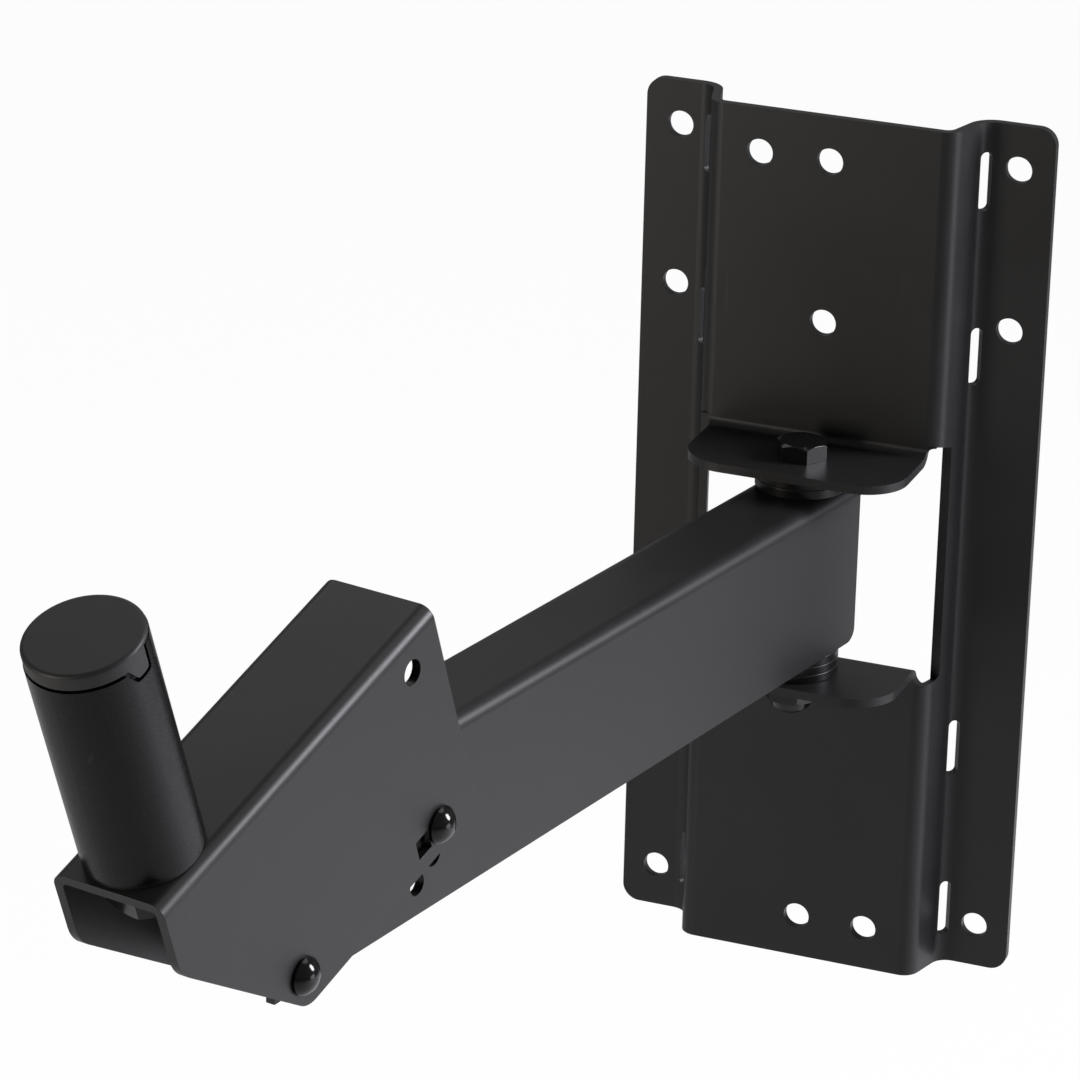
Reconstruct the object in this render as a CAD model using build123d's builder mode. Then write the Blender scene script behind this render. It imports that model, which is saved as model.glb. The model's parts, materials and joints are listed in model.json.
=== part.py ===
from build123d import *
import os
from math import cos, radians, sin, tan

# Speaker wall bracket, in millimetres. The wall is the plane Y = 0 and the bracket stands out
# from it along -Y. +Z is up and +X is to the right of someone who faces the wall. The origin
# is the centre of the rectangle of four corner screw holes, on the wall.

# Folded sheet of the wall plate
plate_sheet = 3.0
plate_width = 140.0
plate_height = 300.0
plate_corner = 6.0
panel_stand_off = 21.0
panel_width = 83.2
web_lean = 15.0
plate_bend = 3.0
flange_bend = 6.0

# Screw holes of the wall plate
screw_hole = 9.0
flange_hole_inset = 12.0
end_hole_inset = 15.0
second_row_drop = 55.0
side_hole_shift = 24.0

# Slots that thin the foldlines between web and flange
fold_slot_length = 20.0
fold_slot_width = 4.0
fold_slot_inset = 20.0
fold_slot_pitch = 60.0

# Ears that hold the arm, and the window that they are folded out of
ear_width = 75.0
ear_corner = 15.0
ear_lip = 18.0
window_relief = 0.5
web_cut_back = 8.0
web_overcut = 0.3

# Swivel
swivel_angle = 11.5
swivel_stand_off = 16.0
swivel_diameter = 10.0
swivel_head_flats = 15.0
swivel_head_height = 5.8
swivel_nut_flats = 17.0
swivel_nut_height = 7.5
swivel_nut_collar = 2.5
swivel_bolt_end = 2.0
swivel_washer = 30.0
lower_washer_count = 3
lower_washer_thickness = 2.93
upper_washer_count = 2
upper_washer_thickness = 3.4
swivel_tube_wall = 3.4

# Arm
arm_sheet = 3.0
arm_width = 30.0
arm_height = 56.0
arm_bend = 1.5
arm_reach = 304.0
arm_tail = 14.0
arm_nose = 8.5
arm_tail_corner = 4.5
arm_nose_corner = 6.0
pivot_above_arm_edge = 7.0

# Tilt: two round holes and an arc slot in each side of the arm, about the pivot
tilt_angle = 19.5
tilt_hole = 7.0
tilt_hole_radius = 62.2
tilt_hole_angles = (2.7, 12.7)
tilt_slot_radius = 71.0
tilt_slot_start = 7.5
tilt_slot_end = 17.5

# Head, seen from its side with the pivot as zero: forward and backward, above and below
head_sheet = 3.0
head_bend = 1.4
head_side_gap = 1.0
head_front = 46.0
head_back = 89.0
head_top = 66.2
head_bottom = 11.3
cheek_front_corner = 41.1
cheek_toe = 1.6
cheek_front_radius = 12.0
cheek_toe_radius = 9.0
cheek_heel_radius = 2.0
neck_hole = 6.5
spare_hole_back = 62.0
spare_hole_below = 3.0
cable_hole = 8.0
cable_hole_back = 74.5
cable_hole_height = 53.0

# Square-neck bolts of pivot and lock, with their washers, nuts, sleeves and shims
bolt_diameter = 6.0
bolt_head = 11.8
bolt_head_height = 4.4
bolt_end = 1.5
bolt_edge = 1.0
nut_flats = 10.0
nut_hexagon_height = 4.5
nut_collar = 1.5
small_washer = 12.0
small_washer_thickness = 1.6
sleeve_wall = 1.9
shim_width = 14.0

# Pole
pole_diameter = 35.0
pole_wall = 2.0
pole_forward = 28.0
pole_height = 68.8
foot_washer = 34.0
foot_washer_thickness = 2.1
pole_plug_height = 20.0
pole_screw_diameter = 16.0
pole_screw_flats = 24.0
pole_screw_head = 12.0
pole_screw_length = 20.0
pole_screw_turn = 17.0

# Cap in the pole's end: a lid, a rim that comes lower on the front half, and a tooth on each side
cap_lid = 1.8
cap_lid_edge = 1.2
cap_rim_height = 4.7
cap_wall = 2.2
cap_skirt = 16.0
cap_joint = 0.9
cap_inset = 0.25
tooth_half_angle = 13.5
tooth_depth = 4.2
tooth_slant = 3.0
tooth_radius = 1.2

# Clearances
running_gap = 0.2
running_fit = 0.08
loose_fit = 0.25
neck_fit = 0.1
plug_fit = 0.1
cap_fit = 0.15
thread_fit = 0.05

# Shapes that all hexagons and threads share: angles in degrees, the others are shares
hexagon_chamfer = 0.95
hexagon_chamfer_angle = 30.0
collar_shoulder = 0.25
collar_taper = 20.0
tip_chamfer = 0.1

# Wall plate, worked out
plate_bend_out = plate_bend + plate_sheet
panel_half = panel_width / 2
web_run = tan(radians(web_lean))
web_foot = panel_half + (panel_stand_off - plate_sheet) * web_run
flange_hole_x = plate_width / 2 - flange_hole_inset
top_row = plate_height / 2 - end_hole_inset
second_row = top_row - second_row_drop
fold_slot_row = plate_height / 2 - fold_slot_inset

# Stack between the ears, from the lower ear up
lower_stack = lower_washer_count * lower_washer_thickness
upper_stack = upper_washer_count * upper_washer_thickness
ear_gap = lower_stack + upper_stack + arm_height + 2 * running_gap
ear_inner = ear_gap / 2
ear_outer = ear_inner + plate_sheet
window_half = ear_outer + plate_bend + window_relief
swivel_y = -(panel_stand_off + swivel_stand_off)
ear_front = -swivel_y + ear_lip
arm_bottom = -ear_inner + lower_stack + running_gap
arm_top = arm_bottom + arm_height

# Notch beside each ear: from the ear's side to just past the cut-back web
notch_out = panel_half + web_cut_back * web_run + web_overcut
notch_width = notch_out - ear_width / 2
notch_x = ear_width / 2 + notch_width / 2

# Directions of the arm and of the head, and the pivot between them
swivel = radians(swivel_angle)
tilt = radians(tilt_angle)
up = Vector(0, 0, 1)
along = Vector(-sin(swivel), -cos(swivel), 0)
across = Vector(cos(swivel), -sin(swivel), 0)
forward = along * cos(tilt) - up * sin(tilt)
outward = along * sin(tilt) + up * cos(tilt)
swivel_point = Vector(0, swivel_y, 0)
pivot = swivel_point + along * arm_reach + up * (arm_bottom + pivot_above_arm_edge)

# Planes on the arm and the head: a side view has x forward and y up
arm_side = Plane(origin=swivel_point, x_dir=along, z_dir=-across)
arm_pivot_side = Plane(origin=pivot, x_dir=along, z_dir=-across)
arm_section = Plane(origin=swivel_point - along * arm_tail, x_dir=across, z_dir=along)
head_side = Plane(origin=pivot, x_dir=forward, z_dir=-across)
head_section = Plane(origin=pivot - forward * head_back, x_dir=across, z_dir=forward)
pole_seat = Plane(
    origin=pivot + forward * pole_forward + outward * head_top,
    x_dir=forward,
    z_dir=outward,
)
pole_base = pole_seat.offset(foot_washer_thickness)

# Widths across the arm and the head
arm_inner_half = arm_width / 2 - arm_sheet
cheek_inner = arm_width / 2 + head_side_gap
cheek_outer = cheek_inner + head_sheet
lock_back = tilt_slot_radius * cos(radians(tilt_angle - tilt_slot_end))
lock_above = tilt_slot_radius * sin(radians(tilt_slot_end - tilt_angle))
neck_side = neck_hole - 2 * neck_fit
bolt_bore = bolt_diameter + 2 * neck_fit
swivel_bore = swivel_diameter + 2 * running_fit
pole_radius = pole_diameter / 2
pole_bore = pole_radius - pole_wall


def half_plane(seat):
    """Plane through a seat's axis, for turned profiles: x away from the axis, y along it."""
    return Plane(origin=seat.origin, x_dir=seat.x_dir, z_dir=-seat.y_dir)


def disc(plane, outer, bore, thickness):
    """Flat washer, sleeve or tube that stands on a plane."""
    with BuildPart() as piece:
        with BuildSketch(plane):
            Circle(outer / 2)
            Circle(bore / 2, mode=Mode.SUBTRACT)
        extrude(amount=thickness)
    return piece


def hexagon_bolt(seat, flats, head_height, diameter, length):
    """Hexagon head that stands on its seat, with its shank behind the seat."""
    with BuildPart(seat) as piece:
        with BuildSketch(seat):
            RegularPolygon(flats / 2, 6, major_radius=False)
        extrude(amount=head_height)
        with BuildSketch(half_plane(seat)):
            Polygon(
                (0, 0),
                (flats / 2 * hexagon_chamfer + head_height / tan(radians(hexagon_chamfer_angle)), 0),
                (flats / 2 * hexagon_chamfer, head_height),
                (0, head_height),
                align=None,
            )
        revolve(axis=Axis(seat.origin, seat.z_dir), mode=Mode.INTERSECT)
        with BuildSketch(seat):
            Circle(diameter / 2)
        extrude(amount=-length)
        tip = piece.faces().filter_by(seat).sort_by(Axis(seat.origin, seat.z_dir))[0]
        chamfer(tip.edges(), diameter * tip_chamfer)
    return piece


def locking_nut(seat, flats, height, collar, bore):
    """Hexagon nut on its seat, with a round collar on its far end that grips the thread."""
    with BuildPart() as piece:
        with BuildSketch(seat):
            RegularPolygon(flats / 2, 6, major_radius=False)
        extrude(amount=height)
        with BuildSketch(half_plane(seat)):
            Polygon(
                (0, 0),
                (flats / 2 * hexagon_chamfer + height / tan(radians(hexagon_chamfer_angle)), 0),
                (flats / 2 * hexagon_chamfer, height),
                (0, height),
                align=None,
            )
        revolve(axis=Axis(seat.origin, seat.z_dir), mode=Mode.INTERSECT)
        with BuildSketch(seat.offset(height)):
            Circle(flats / 2 * hexagon_chamfer - collar * collar_shoulder)
        extrude(amount=collar, taper=collar_taper)
        with BuildSketch(seat):
            Circle(bore / 2)
        extrude(amount=height + collar, mode=Mode.SUBTRACT)
    return piece


def square_neck_bolt(seat, length):
    """Domed bolt on the outer face of a cheek: its neck fills the cheek's square hole."""
    with BuildPart() as piece:
        with BuildSketch(half_plane(seat)):
            with BuildLine():
                Polyline((0, bolt_head_height), (0, 0), (bolt_head / 2, 0), (bolt_head / 2, bolt_edge))
                TangentArc((0, bolt_head_height), (bolt_head / 2, bolt_edge), tangent=(1, 0))
            make_face()
        revolve(axis=Axis(seat.origin, seat.z_dir))
        with BuildSketch(seat):
            Rectangle(neck_side, neck_side)
        extrude(amount=-head_sheet)
        with BuildSketch(seat):
            Circle(bolt_diameter / 2)
        extrude(amount=-length)
    return piece


# Wall plate: a hat section, cut by the window, with two ears folded out of the window's edges
with BuildPart() as wall_plate:
    with BuildSketch(Plane.XY.offset(-plate_height / 2)):
        with BuildLine():
            FilletPolyline(
                (-plate_width / 2, -plate_sheet),
                (-web_foot, -plate_sheet),
                (-panel_half, -panel_stand_off),
                (panel_half, -panel_stand_off),
                (web_foot, -plate_sheet),
                (plate_width / 2, -plate_sheet),
                radius=[flange_bend, plate_bend_out, plate_bend_out, flange_bend],
            )
            offset(amount=plate_sheet, side=Side.LEFT)
        make_face()
    extrude(amount=plate_height)
    with BuildSketch(Plane.XZ):
        RectangleRounded(plate_width, plate_height, plate_corner)
    extrude(amount=panel_stand_off, mode=Mode.INTERSECT)

    # Window across the panel and the front of both webs, with round-ended notches
    with BuildSketch(Plane.XZ.offset(panel_stand_off - web_cut_back)):
        Rectangle(2 * notch_x, 2 * window_half)
        with Locations((-notch_x, 0), (notch_x, 0)):
            SlotOverall(2 * window_half, notch_width, rotation=90)
    extrude(amount=web_cut_back, mode=Mode.SUBTRACT)

    # Ears
    for way, inner_side in ((1, Side.LEFT), (-1, Side.RIGHT)):
        with BuildSketch(Plane.YZ):
            with BuildLine():
                FilletPolyline(
                    (-panel_stand_off, way * window_half),
                    (-panel_stand_off, way * ear_outer),
                    (-ear_front, way * ear_outer),
                    radius=plate_bend,
                )
                offset(amount=plate_sheet, side=inner_side)
            make_face()
        extrude(amount=notch_x, both=True)
    with BuildSketch(Plane.XZ.offset(panel_stand_off - web_cut_back)):
        with Locations((-notch_x, 0), (notch_x, 0)):
            SlotOverall(2 * window_half, notch_width, rotation=90)
    extrude(amount=ear_front, mode=Mode.SUBTRACT)
    fillet(wall_plate.edges().filter_by(Axis.Z).group_by(Axis.Y)[0], ear_corner)
    with BuildSketch(Plane.XY.offset(-window_half)):
        with Locations((0, swivel_y)):
            Circle(swivel_diameter / 2 + loose_fit)
    extrude(amount=2 * window_half, mode=Mode.SUBTRACT)

    # Screw holes: three rows in the flanges, and five holes in the panel
    with BuildSketch(Plane.XZ):
        for row in (top_row, second_row, -top_row):
            with Locations((-flange_hole_x, row), (0, row), (flange_hole_x, row)):
                Circle(screw_hole / 2)
        with Locations((-side_hole_shift, top_row), (side_hole_shift, -top_row)):
            Circle(screw_hole / 2)
    extrude(amount=panel_stand_off, mode=Mode.SUBTRACT)

    # Slots along the foldlines, cut square through the folds
    slot_aim = radians((90 + web_lean) / 2)
    for way in (-1, 1):
        fold = Plane(
            origin=(way * web_foot, -plate_sheet, 0),
            x_dir=(0, 0, 1),
            z_dir=(way * cos(slot_aim), -sin(slot_aim), 0),
        )
        with BuildSketch(fold):
            for row in (fold_slot_row, fold_slot_row - fold_slot_pitch):
                with Locations((-row, 0), (row, 0)):
                    SlotOverall(fold_slot_length, fold_slot_width)
        extrude(amount=2 * plate_sheet, both=True, mode=Mode.SUBTRACT)

# Arm: a channel, open below
with BuildPart() as arm:
    with BuildSketch(arm_section):
        with BuildLine():
            FilletPolyline(
                (-arm_width / 2, arm_bottom),
                (-arm_width / 2, arm_top),
                (arm_width / 2, arm_top),
                (arm_width / 2, arm_bottom),
                radius=arm_bend + arm_sheet,
            )
            offset(amount=arm_sheet, side=Side.RIGHT)
        make_face()
    extrude(amount=arm_tail + arm_reach + arm_nose)
    with BuildSketch(arm_side) as arm_outline:
        with Locations((-arm_tail, arm_bottom)):
            Rectangle(arm_tail + arm_reach + arm_nose, arm_height, align=(Align.MIN, Align.MIN))
        low_corners = arm_outline.vertices().group_by(Axis.Y)[0].sort_by(Axis.X)
        fillet(low_corners[0], arm_tail_corner)
        fillet(low_corners[-1], arm_nose_corner)
    extrude(amount=arm_width / 2, both=True, mode=Mode.INTERSECT)
    with BuildSketch(Plane.XY.offset(arm_bottom)):
        with Locations((0, swivel_y)):
            Circle(swivel_bore / 2)
    extrude(amount=arm_height, mode=Mode.SUBTRACT)

    # Pivot holes, tilt holes and the lock bolt's slot, through both sides
    with BuildSketch(arm_pivot_side):
        Circle(bolt_diameter / 2 + running_fit)
        with PolarLocations(tilt_hole_radius, 1, 180 - tilt_hole_angles[0]):
            Circle(tilt_hole / 2)
        with PolarLocations(tilt_hole_radius, 1, 180 - tilt_hole_angles[1]):
            Circle(tilt_hole / 2)
        with BuildLine(mode=Mode.PRIVATE) as lock_path:
            CenterArc((0, 0), tilt_slot_radius, 180 - tilt_slot_end, tilt_slot_end - tilt_slot_start)
        SlotArc(lock_path.edges()[0], tilt_hole)
    extrude(amount=arm_width / 2, both=True, mode=Mode.SUBTRACT)

# Tube welded into the arm's wall end, which turns on the swivel bolt
swivel_foot = Plane.XY.offset(arm_bottom).shift_origin((0, swivel_y, arm_bottom))
swivel_tube = disc(
    swivel_foot, swivel_bore + 2 * swivel_tube_wall, swivel_bore, arm_height - arm_sheet
)

# Swivel bolt down through both ears, and its nut
swivel_bolt = hexagon_bolt(
    Plane(origin=swivel_point + up * ear_outer, z_dir=up),
    swivel_head_flats,
    swivel_head_height,
    swivel_diameter,
    2 * ear_outer + swivel_nut_height + swivel_nut_collar + swivel_bolt_end,
)
swivel_nut = locking_nut(
    Plane(origin=swivel_point - up * ear_outer, z_dir=-up),
    swivel_nut_flats,
    swivel_nut_height,
    swivel_nut_collar,
    swivel_diameter + 2 * thread_fit,
)

# Washers under and over the arm
washer_bore = swivel_diameter + 2 * loose_fit
swivel_washers = {}
for index in range(lower_washer_count):
    foot = Plane(origin=swivel_point + up * (-ear_inner + index * lower_washer_thickness), z_dir=up)
    swivel_washers[f"lower_washer_{index + 1}"] = disc(
        foot, swivel_washer, washer_bore, lower_washer_thickness
    )
for index in range(upper_washer_count):
    foot = Plane(origin=swivel_point + up * (ear_inner - (index + 1) * upper_washer_thickness), z_dir=up)
    swivel_washers[f"upper_washer_{index + 1}"] = disc(
        foot, swivel_washer, washer_bore, upper_washer_thickness
    )

# Head: a channel, open below, that straddles the arm
with BuildPart() as tilt_head:
    with BuildSketch(head_section):
        with BuildLine():
            FilletPolyline(
                (-cheek_outer, -head_bottom),
                (-cheek_outer, head_top),
                (cheek_outer, head_top),
                (cheek_outer, -head_bottom),
                radius=head_bend + head_sheet,
            )
            offset(amount=head_sheet, side=Side.RIGHT)
        make_face()
    extrude(amount=head_back + head_front)
    with BuildSketch(head_side):
        with BuildLine():
            FilletPolyline(
                (-head_back, head_top),
                (-head_back, -head_bottom),
                (cheek_toe, -head_bottom),
                (head_front, cheek_front_corner),
                (head_front, head_top),
                radius=[0, cheek_heel_radius, cheek_toe_radius, cheek_front_radius, 0],
                close=True,
            )
        make_face()
    extrude(amount=cheek_outer, both=True, mode=Mode.INTERSECT)

    # Square holes in the near cheek, and round ones across from them in the far cheek
    neck_places = ((0, 0), (-lock_back, lock_above), (-spare_hole_back, -spare_hole_below))
    with BuildSketch(head_side):
        with Locations(*neck_places):
            Rectangle(neck_hole, neck_hole)
    extrude(amount=-cheek_outer, mode=Mode.SUBTRACT)
    with BuildSketch(head_side):
        with Locations(*neck_places):
            Circle(neck_hole / 2)
    extrude(amount=cheek_outer, mode=Mode.SUBTRACT)
    with BuildSketch(head_side):
        with Locations((-cable_hole_back, cable_hole_height)):
            Circle(cable_hole / 2)
    extrude(amount=cheek_outer, both=True, mode=Mode.SUBTRACT)
    with BuildSketch(pole_seat):
        Circle(pole_screw_diameter / 2 + loose_fit)
    extrude(amount=-head_sheet, mode=Mode.SUBTRACT)

# Two bolts across the head: the pivot, and the lock in the arm's slot
cross_pieces = {}
nut_whole = nut_hexagon_height + nut_collar
cheek_bolt_length = 2 * cheek_outer + small_washer_thickness + nut_whole + bolt_end
for name, place in (("pivot", (0, 0)), ("lock", (-lock_back, lock_above))):
    centre = pivot + forward * place[0] + outward * place[1]
    near = Plane(origin=centre + across * cheek_outer, x_dir=forward, z_dir=across)
    far = Plane(origin=centre - across * cheek_outer, x_dir=forward, z_dir=-across)
    near_shim = Plane(origin=centre + across * cheek_inner, x_dir=forward, z_dir=-across)
    far_shim = Plane(origin=centre - across * cheek_inner, x_dir=forward, z_dir=across)
    inside = Plane(
        origin=centre - across * (arm_inner_half - running_gap), x_dir=forward, z_dir=across
    )
    shim_thickness = head_side_gap - running_gap
    cross_pieces[f"{name}_bolt"] = square_neck_bolt(near, cheek_bolt_length)
    cross_pieces[f"{name}_washer"] = disc(far, small_washer, bolt_bore, small_washer_thickness)
    cross_pieces[f"{name}_nut"] = locking_nut(
        far.offset(small_washer_thickness),
        nut_flats,
        nut_hexagon_height,
        nut_collar,
        bolt_diameter + 2 * thread_fit,
    )
    cross_pieces[f"{name}_sleeve"] = disc(
        inside, bolt_bore + 2 * sleeve_wall, bolt_bore, 2 * (arm_inner_half - running_gap)
    )
    cross_pieces[f"{name}_shim_near"] = disc(near_shim, shim_width, bolt_bore, shim_thickness)
    cross_pieces[f"{name}_shim_far"] = disc(far_shim, shim_width, bolt_bore, shim_thickness)


def front_half(radius):
    """Half of a round area, on the pole's front side."""
    Rectangle(radius, 2 * radius, align=(Align.MIN, Align.CENTER))


# Pole's end, worked out: the heights are from the edge of the tube's front half
rim_edge = cap_joint
lid_under = cap_joint + cap_rim_height - cap_lid
back_edge = lid_under - cap_fit
cap_radius = pole_radius - cap_inset
skirt_radius = pole_bore - cap_fit
tooth_reach = pole_radius * sin(radians(tooth_half_angle))

# Side view of the pole's end, with y up and x toward its back
pole_front_edge = pole_base.offset(pole_height)
pole_end_side = Plane(origin=pole_front_edge.origin, x_dir=-forward, z_dir=across)

# Pole: the tube's back half stands higher than its front half, with a notch between them
with BuildPart() as pole_tube:
    with BuildSketch(pole_base):
        Circle(pole_radius)
        Circle(pole_bore, mode=Mode.SUBTRACT)
    extrude(amount=pole_height + back_edge)
    with BuildSketch(pole_front_edge):
        front_half(pole_diameter)
    extrude(amount=back_edge, mode=Mode.SUBTRACT)
    with BuildSketch(pole_end_side) as notch:
        Polygon(
            (-tooth_reach - cap_joint, 0),
            (-tooth_reach - cap_joint + tooth_slant, -tooth_depth),
            (tooth_reach + cap_joint, -tooth_depth),
            (tooth_reach + cap_joint, back_edge),
            (-tooth_reach - cap_joint, back_edge),
            align=None,
        )
        fillet(notch.vertices().group_by(Axis.Y)[0], tooth_radius)
    extrude(amount=pole_diameter, both=True, mode=Mode.SUBTRACT)

# Cap: a lid on a skirt in the tube's bore, the rim, and two teeth in the tube's notches
with BuildPart() as pole_cap:
    with BuildSketch(pole_end_side) as tooth:
        Polygon(
            (-tooth_reach, lid_under),
            (-tooth_reach, rim_edge),
            (-tooth_reach + tooth_slant, rim_edge - tooth_depth),
            (tooth_reach, rim_edge - tooth_depth),
            (tooth_reach, lid_under),
            align=None,
        )
        fillet(tooth.vertices().group_by(Axis.Y)[0], tooth_radius)
    extrude(amount=pole_diameter, both=True)
    with BuildSketch(pole_front_edge.offset(rim_edge - tooth_depth)):
        Circle(cap_radius)
        Circle(skirt_radius - cap_wall / 2, mode=Mode.SUBTRACT)
    extrude(amount=tooth_depth - rim_edge + lid_under, mode=Mode.INTERSECT)
    with BuildSketch(pole_front_edge.offset(rim_edge)):
        front_half(cap_radius)
        Circle(cap_radius, mode=Mode.INTERSECT)
    extrude(amount=lid_under - rim_edge)
    with BuildSketch(pole_front_edge.offset(lid_under)):
        Circle(cap_radius)
    extrude(amount=cap_lid)
    fillet(pole_cap.edges().group_by(Axis(pole_front_edge.origin, outward))[-1], cap_lid_edge)
    with BuildSketch(pole_front_edge.offset(lid_under - cap_skirt)):
        Circle(skirt_radius)
    extrude(amount=cap_skirt)
    with BuildSketch(pole_front_edge.offset(lid_under - cap_skirt)):
        Circle(skirt_radius - cap_wall)
    extrude(amount=cap_skirt - cap_wall + cap_lid, mode=Mode.SUBTRACT)

# Washer under the pole, threaded plug welded into its foot, and the screw that holds it down
pole_washer = disc(
    pole_seat, foot_washer, pole_screw_diameter + 2 * loose_fit, foot_washer_thickness
)
pole_plug = disc(
    pole_base,
    2 * (pole_bore - plug_fit),
    pole_screw_diameter + 2 * thread_fit,
    pole_plug_height,
)
screw_seat = Plane(
    origin=pole_seat.origin - outward * head_sheet,
    x_dir=forward * cos(radians(pole_screw_turn)) + across * sin(radians(pole_screw_turn)),
    z_dir=-outward,
)
pole_screw = hexagon_bolt(
    screw_seat,
    pole_screw_flats,
    pole_screw_head,
    pole_screw_diameter,
    head_sheet + foot_washer_thickness + pole_screw_length,
)

pieces = {
    "wall_plate": wall_plate,
    "swivel_bolt": swivel_bolt,
    "swivel_nut": swivel_nut,
    **swivel_washers,
    "arm": arm,
    "swivel_tube": swivel_tube,
    "tilt_head": tilt_head,
    **cross_pieces,
    "pole_washer": pole_washer,
    "pole_tube": pole_tube,
    "pole_plug": pole_plug,
    "pole_screw": pole_screw,
    "pole_cap": pole_cap,
}
os.makedirs("parts", exist_ok=True)
for name, piece in pieces.items():
    piece.part.label = name
    export_step(piece.part, f"parts/{name}.step")
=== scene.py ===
"""Looks of the speaker wall bracket: finishes, rounded edges, threads, weld, lamps and camera."""

import json
import logging
import math
from dataclasses import dataclass, field
from enum import Enum

import bmesh
import bpy
from mathutils import Matrix, Vector
from mathutils.bvhtree import BVHTree
from mathutils.interpolate import poly_3d_calc


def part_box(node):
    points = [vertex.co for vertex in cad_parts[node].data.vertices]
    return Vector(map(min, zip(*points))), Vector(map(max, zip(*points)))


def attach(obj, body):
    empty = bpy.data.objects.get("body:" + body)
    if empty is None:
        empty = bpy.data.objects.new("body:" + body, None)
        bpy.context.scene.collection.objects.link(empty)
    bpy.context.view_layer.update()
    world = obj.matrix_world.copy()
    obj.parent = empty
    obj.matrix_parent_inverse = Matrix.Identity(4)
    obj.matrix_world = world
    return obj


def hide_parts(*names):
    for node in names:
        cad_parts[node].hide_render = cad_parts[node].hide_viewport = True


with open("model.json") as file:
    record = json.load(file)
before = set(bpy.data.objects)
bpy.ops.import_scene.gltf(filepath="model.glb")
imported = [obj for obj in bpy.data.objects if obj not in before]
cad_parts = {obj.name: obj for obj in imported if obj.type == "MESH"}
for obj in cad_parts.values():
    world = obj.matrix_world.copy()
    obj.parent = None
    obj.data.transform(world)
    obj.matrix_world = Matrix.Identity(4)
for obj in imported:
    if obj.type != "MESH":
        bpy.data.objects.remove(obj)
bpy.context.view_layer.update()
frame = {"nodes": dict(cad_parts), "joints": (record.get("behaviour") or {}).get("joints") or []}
LOG = logging.getLogger("speaker_bracket")
Socket = bpy.types.NodeSocket
Feed = Socket | float

MM = 0.001
EDGE_MASK = "cut_edge"
CUT_EDGE_SLOT = 1
FULL = (0.0, 1.0)

# Rounding of cut edges: lengths in millimetres, angles in degrees
MERGE_DISTANCE = 0.001
FLAT_FOLD = 0.4
ROUND_STEPS = 3
NORMAL_PROBE = 0.02
SAME_FACING = 0.7


class Slot(Enum):
    """The record's material slots that pieces take their finish from."""

    SHEET = "black_steel"
    POLE = "pole_steel"
    CAP = "cap_plastic"
    HARDWARE = "dark_hardware"
    WASHER = "washer_steel"
    BARE = "bare_steel"
    SHIM = "shim_plastic"


class Body(Enum):
    """The rigid bodies that pieces ride on."""

    WALL = "wall_side"
    ARM = "swing_arm"
    HEAD = "head"


def add_math(
    tree: bpy.types.NodeTree, operation: str, first: Feed, second: Feed | None = None,
    clamp: bool = False,
) -> Socket:
    """Add a Math node whose inputs are sockets or numbers.

    Args:
        tree: the node tree.
        operation: the Math node's operation.
        first: socket or number for the first input.
        second: socket or number for the second input, if it has one.
        clamp: whether the result stays between 0 and 1.

    Returns:
        The node's output socket.
    """
    node = tree.nodes.new("ShaderNodeMath")
    node.operation = operation
    node.use_clamp = clamp
    for slot, value in zip(node.inputs, (first, second)):
        if isinstance(value, Socket):
            tree.links.new(value, slot)
        elif value is not None:
            slot.default_value = value
    return node.outputs[0]


def add_range(
    tree: bpy.types.NodeTree, value: Socket, start: tuple[float, float], end: tuple[float, float]
) -> Socket:
    """Add a Map Range node.

    Args:
        tree: the node tree.
        value: socket with the value.
        start: the range that the value has.
        end: the range that it gets.

    Returns:
        The node's output socket.
    """
    node = tree.nodes.new("ShaderNodeMapRange")
    tree.links.new(value, node.inputs["Value"])
    node.inputs["From Min"].default_value, node.inputs["From Max"].default_value = start
    node.inputs["To Min"].default_value, node.inputs["To Max"].default_value = end
    return node.outputs["Result"]


class MaskGroup:
    """A shader node group that reads Object coordinates and puts out masks or heights."""

    def __init__(self, name: str, inputs: dict[str, float], outputs: tuple[str, ...]) -> None:
        """Start the group.

        Args:
            name: what the group is called.
            inputs: each input's name and its default value.
            outputs: the outputs' names.
        """
        self.tree = bpy.data.node_groups.new(name, "ShaderNodeTree")
        for label, value in inputs.items():
            socket = self.tree.interface.new_socket(
                label, in_out="INPUT", socket_type="NodeSocketFloat"
            )
            socket.default_value = value
        self.tree.interface.new_socket("Place", in_out="INPUT", socket_type="NodeSocketVector")
        for label in outputs:
            self.tree.interface.new_socket(label, in_out="OUTPUT", socket_type="NodeSocketFloat")
        self.entry = self.tree.nodes.new("NodeGroupInput").outputs
        self.leave = self.tree.nodes.new("NodeGroupOutput").inputs

    def noise(
        self, scale: Feed, detail: float, rough: float, place: Socket | None = None
    ) -> Socket:
        """Add a noise texture.

        Args:
            scale: socket or number for its scale.
            detail: how many octaves it has.
            rough: how strong the fine octaves are.
            place: socket with the coordinates, or None for the group's own.

        Returns:
            The socket with the noise.
        """
        node = self.tree.nodes.new("ShaderNodeTexNoise")
        node.inputs["Detail"].default_value = detail
        node.inputs["Roughness"].default_value = rough
        self.tree.links.new(place or self.entry["Place"], node.inputs["Vector"])
        if isinstance(scale, Socket):
            self.tree.links.new(scale, node.inputs["Scale"])
        else:
            node.inputs["Scale"].default_value = scale
        return node.outputs["Fac"]

    def stretched(self, stretch: tuple[float, float, float]) -> Socket:
        """Add a Mapping node that stretches the group's coordinates.

        Args:
            stretch: the scale along each axis.

        Returns:
            The socket with the coordinates.
        """
        node = self.tree.nodes.new("ShaderNodeMapping")
        node.inputs["Scale"].default_value = stretch
        self.tree.links.new(self.entry["Place"], node.inputs["Vector"])
        return node.outputs["Vector"]

    def give(self, label: str, value: Socket) -> None:
        """Link a socket to an output of the group."""
        self.tree.links.new(value, self.leave[label])


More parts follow.
